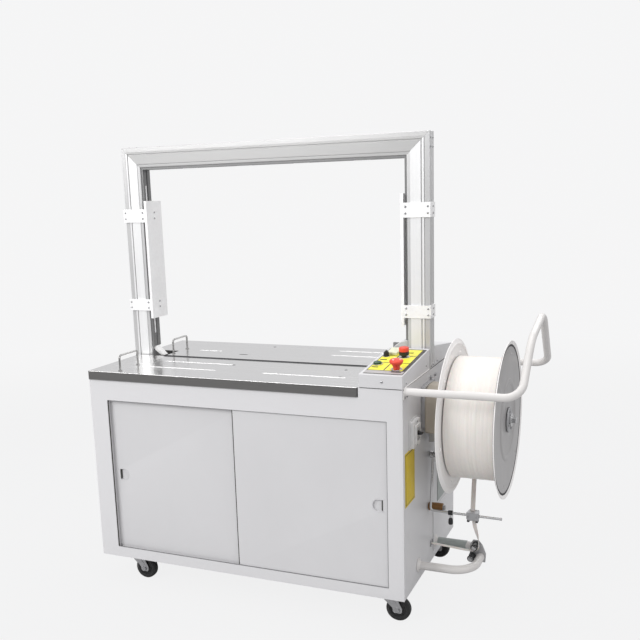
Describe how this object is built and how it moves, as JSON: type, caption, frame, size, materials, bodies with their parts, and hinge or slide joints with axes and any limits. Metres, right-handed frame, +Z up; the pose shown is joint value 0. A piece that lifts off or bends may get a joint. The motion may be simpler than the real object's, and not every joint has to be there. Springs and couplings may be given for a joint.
{
  "type": "arch strapping machine",
  "caption": "Free-standing packaging machine: a cabinet on casters with a stainless table, an aluminium strap arch, a sloped control console and a side strap reel.",
  "frame": {"origin": "centre of the whole machine in plan, on the floor under the casters", "axes": "+X to the reel side, +Y from the door side to the back, +Z up"},
  "size_m": [1.4072, 0.6, 1.422],
  "materials": {
    "white_paint": "satin light grey powder coat",
    "white_tube": "smooth white enamel on tube",
    "stainless": "brushed stainless sheet",
    "aluminium": "anodised extruded aluminium",
    "track_steel": "dark ground steel",
    "zinc": "light grey plated sheet steel",
    "bright_steel": "turned bright steel",
    "flange_paint": "light grey painted pressing",
    "strap": "white polypropylene strap",
    "cream_paint": "cream painted housing",
    "panel_yellow": "yellow printed control film",
    "red_plastic": "red moulded plastic",
    "black_plastic": "black moulded plastic",
    "green_plastic": "green moulded plastic",
    "white_plastic": "white moulded plastic",
    "brown_rubber": "amber brown polyurethane",
    "tyre": "black caster tyre",
    "motor_paint": "blue grey motor enamel",
    "belt": "black drive rubber"
  },
  "bodies": {
    "machine": {"cabinet_front_frame": "white_paint", "cabinet_left_panel": "white_paint", "cabinet_right_panel": "white_paint", "cabinet_rear_panel": "white_paint", "cabinet_floor": "white_paint", "table_frame": "white_paint", "slot_channel": "track_steel", "console_cover": "white_paint", "control_plate": "panel_yellow", "rear_cover": "white_paint", "arch_left_leg": "aluminium", "arch_right_leg": "aluminium", "arch_top_beam": "aluminium", "strap_track": "track_steel", "left_strap_chute": "white_plastic", "right_strap_chute": "zinc", "left_guard": "zinc", "right_guard": "zinc", "push_handle": "white_tube", "lower_hoop": "white_tube", "reel_brake_housing": "cream_paint", "reel_axle": "bright_steel", "arm_stop": "brown_rubber", "strap_upper": "strap", "strap_lower": "strap", "breaker_body": "white_plastic", "sealing_head_frame": "bright_steel", "drive_motor": "motor_paint", "drive_belt": "belt", "strap_pool_box": "white_paint"},
    "left_sliding_door": {"left_door": "white_paint"},
    "right_sliding_door": {"right_door": "white_paint"},
    "front_table": {"front_table_plate": "stainless", "front_table_handle": "stainless"},
    "rear_table": {"rear_table_plate": "stainless", "rear_table_handle": "stainless"},
    "estop": {"estop_button": "red_plastic"},
    "feed_switch": {"feed_button": "red_plastic"},
    "start_switch": {"start_button": "green_plastic"},
    "selector": {"mode_selector": "black_plastic"},
    "reel": {"reel_inner_flange": "flange_paint", "reel_outer_flange": "flange_paint", "strap_roll": "strap", "reel_nut": "bright_steel"},
    "dancer": {"dancer_arm": "bright_steel", "guide_block": "zinc"},
    "upper_roller": {"upper_guide_roller": "black_plastic"},
    "lower_roller": {"lower_guide_roller": "black_plastic"},
    "breaker_toggle": {"breaker_lever": "black_plastic"},
    "cams": {"cam_shaft": "bright_steel"},
    "motor_spindle": {"motor_pulley": "bright_steel"},
    "feed": {"feed_roller": "belt"},
    "front_left_swivel": {"front_left_caster_fork": "zinc"},
    "front_left_wheel": {"front_left_caster_wheel": "tyre"},
    "front_right_swivel": {"front_right_caster_fork": "zinc"},
    "front_right_wheel": {"front_right_caster_wheel": "tyre"},
    "rear_left_swivel": {"rear_left_caster_fork": "zinc"},
    "rear_left_wheel": {"rear_left_caster_wheel": "tyre"},
    "rear_right_swivel": {"rear_right_caster_fork": "zinc"},
    "rear_right_wheel": {"rear_right_caster_wheel": "tyre"}
  },
  "joints": [
    {"name": "left_door_slide", "type": "slide", "parent": "machine", "child": "left_sliding_door", "axis": [1, 0, 0], "range_m": [0, 0.43]},
    {"name": "right_door_slide", "type": "slide", "parent": "machine", "child": "right_sliding_door", "axis": [-1, 0, 0], "range_m": [0, 0.43]},
    {"name": "front_table_lift", "type": "hinge", "parent": "machine", "child": "front_table", "pos_m": [0.2379, -0.155, 0.716], "axis": [0, 1, 0], "range_deg": [0, 75]},
    {"name": "rear_table_lift", "type": "hinge", "parent": "machine", "child": "rear_table", "pos_m": [0.2379, 0.14, 0.716], "axis": [0, 1, 0], "range_deg": [0, 40]},
    {"name": "estop_press", "type": "slide", "parent": "machine", "child": "estop", "axis": [0, 0.0901, -0.9959], "range_m": [0, 0.006], "stiffness_N_per_m": 600},
    {"name": "feed_press", "type": "slide", "parent": "machine", "child": "feed_switch", "axis": [0, 0.0901, -0.9959], "range_m": [0, 0.004], "stiffness_N_per_m": 500},
    {"name": "start_press", "type": "slide", "parent": "machine", "child": "start_switch", "axis": [0, 0.0901, -0.9959], "range_m": [0, 0.003], "stiffness_N_per_m": 500},
    {"name": "selector_turn", "type": "hinge", "parent": "machine", "child": "selector", "pos_m": [0.2669, -0.11574, 0.7703], "axis": [0, -0.0901, 0.9959], "range_deg": [-45, 45]},
    {"name": "reel_spin", "type": "hinge", "parent": "machine", "child": "reel", "pos_m": [0.5359, -0.05, 0.587], "axis": [1, 0, 0], "continuous": true},
    {"name": "dancer_swing", "type": "hinge", "parent": "machine", "child": "dancer", "pos_m": [0.3799, -0.015, 0.448], "axis": [-1, 0, 0], "range_deg": [0, 25], "stiffness_Nm_per_rad": 0.8, "deforming": ["strap_upper", "strap_lower"]},
    {"name": "upper_roller_spin", "type": "hinge", "parent": "machine", "child": "upper_roller", "pos_m": [0.5199, -0.049, 0.178], "axis": [0, 1, 0], "continuous": true},
    {"name": "lower_roller_spin", "type": "hinge", "parent": "machine", "child": "lower_roller", "pos_m": [0.5094, -0.049, 0.141], "axis": [0, 1, 0], "continuous": true},
    {"name": "breaker_toggle_turn", "type": "hinge", "parent": "machine", "child": "breaker_toggle", "pos_m": [0.3829, -0.198, 0.568], "axis": [0, 1, 0], "range_deg": [-25, 25]},
    {"name": "cam_turn", "type": "hinge", "parent": "machine", "child": "cams", "pos_m": [-0.1601, -0.1, 0.54], "axis": [0, 1, 0], "continuous": true},
    {"name": "motor_turn", "type": "hinge", "parent": "machine", "child": "motor_spindle", "pos_m": [0.0099, -0.1, 0.19], "axis": [0, 1, 0], "continuous": true},
    {"name": "feed_turn", "type": "hinge", "parent": "machine", "child": "feed", "pos_m": [-0.2201, -0.013, 0.63], "axis": [0, 1, 0], "continuous": true},
    {"name": "front_left_swivel_turn", "type": "hinge", "parent": "machine", "child": "front_left_swivel", "pos_m": [-0.5721, -0.242, 0.08], "axis": [0, 0, 1], "continuous": true},
    {"name": "front_left_wheel_roll", "type": "hinge", "parent": "front_left_swivel", "child": "front_left_wheel", "pos_m": [-0.5461, -0.242, 0.0375], "axis": [0, 1, 0], "continuous": true},
    {"name": "front_right_swivel_turn", "type": "hinge", "parent": "machine", "child": "front_right_swivel", "pos_m": [0.3099, -0.242, 0.08], "axis": [0, 0, 1], "continuous": true},
    {"name": "front_right_wheel_roll", "type": "hinge", "parent": "front_right_swivel", "child": "front_right_wheel", "pos_m": [0.3359, -0.242, 0.0375], "axis": [0, 1, 0], "continuous": true},
    {"name": "rear_left_swivel_turn", "type": "hinge", "parent": "machine", "child": "rear_left_swivel", "pos_m": [-0.5721, 0.232, 0.08], "axis": [0, 0, 1], "continuous": true},
    {"name": "rear_left_wheel_roll", "type": "hinge", "parent": "rear_left_swivel", "child": "rear_left_wheel", "pos_m": [-0.5461, 0.232, 0.0375], "axis": [0, 1, 0], "continuous": true},
    {"name": "rear_right_swivel_turn", "type": "hinge", "parent": "machine", "child": "rear_right_swivel", "pos_m": [0.3099, 0.232, 0.08], "axis": [0, 0, 1], "continuous": true},
    {"name": "rear_right_wheel_roll", "type": "hinge", "parent": "rear_right_swivel", "child": "rear_right_wheel", "pos_m": [0.3359, 0.232, 0.0375], "axis": [0, 1, 0], "continuous": true}
  ],
  "couplings": [
    {"joint": "motor_turn", "follows": "cam_turn", "ratio": 2}
  ]
}
